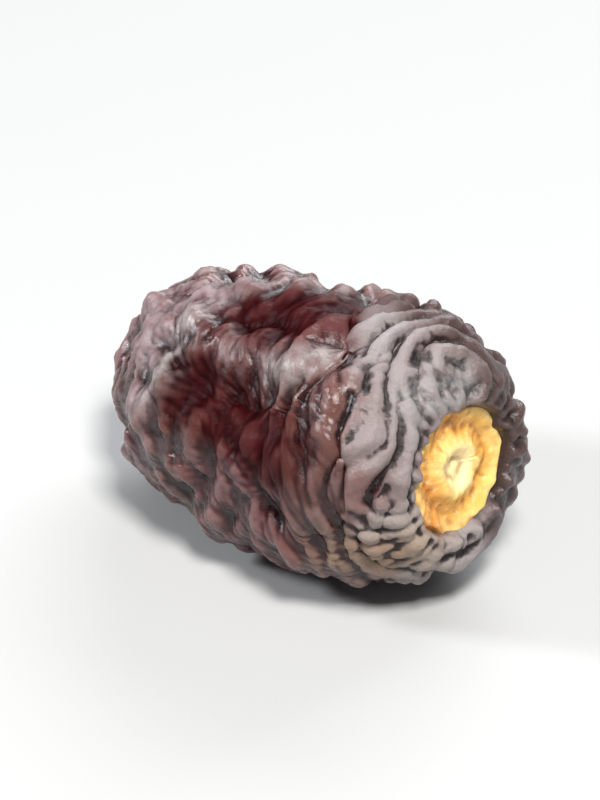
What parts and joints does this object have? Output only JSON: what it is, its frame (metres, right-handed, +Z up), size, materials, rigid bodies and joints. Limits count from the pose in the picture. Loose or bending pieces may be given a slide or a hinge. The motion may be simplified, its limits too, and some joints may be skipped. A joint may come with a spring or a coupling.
{
  "type": "ajwa date",
  "caption": "Dried, wrinkled dark date fruit lying on its side, with the dry golden perianth disc in its stem end.",
  "frame": {"origin": "middle of the whole fruit's footprint box, on the surface that it lies on", "axes": "+X along the fruit from its apex to its stem end, +Z up from the surface that it lies on"},
  "size_m": [0.031, 0.0202, 0.0189],
  "materials": {
    "date_skin": "dry wrinkled skin, dark maroon to black with a grey bloom on its ridges, satin",
    "perianth_fibre": "dry fibrous husk, golden yellow to orange brown, matt"
  },
  "bodies": {
    "root": {"date_fruit": "date_skin", "perianth": "perianth_fibre"}
  },
  "joints": []
}
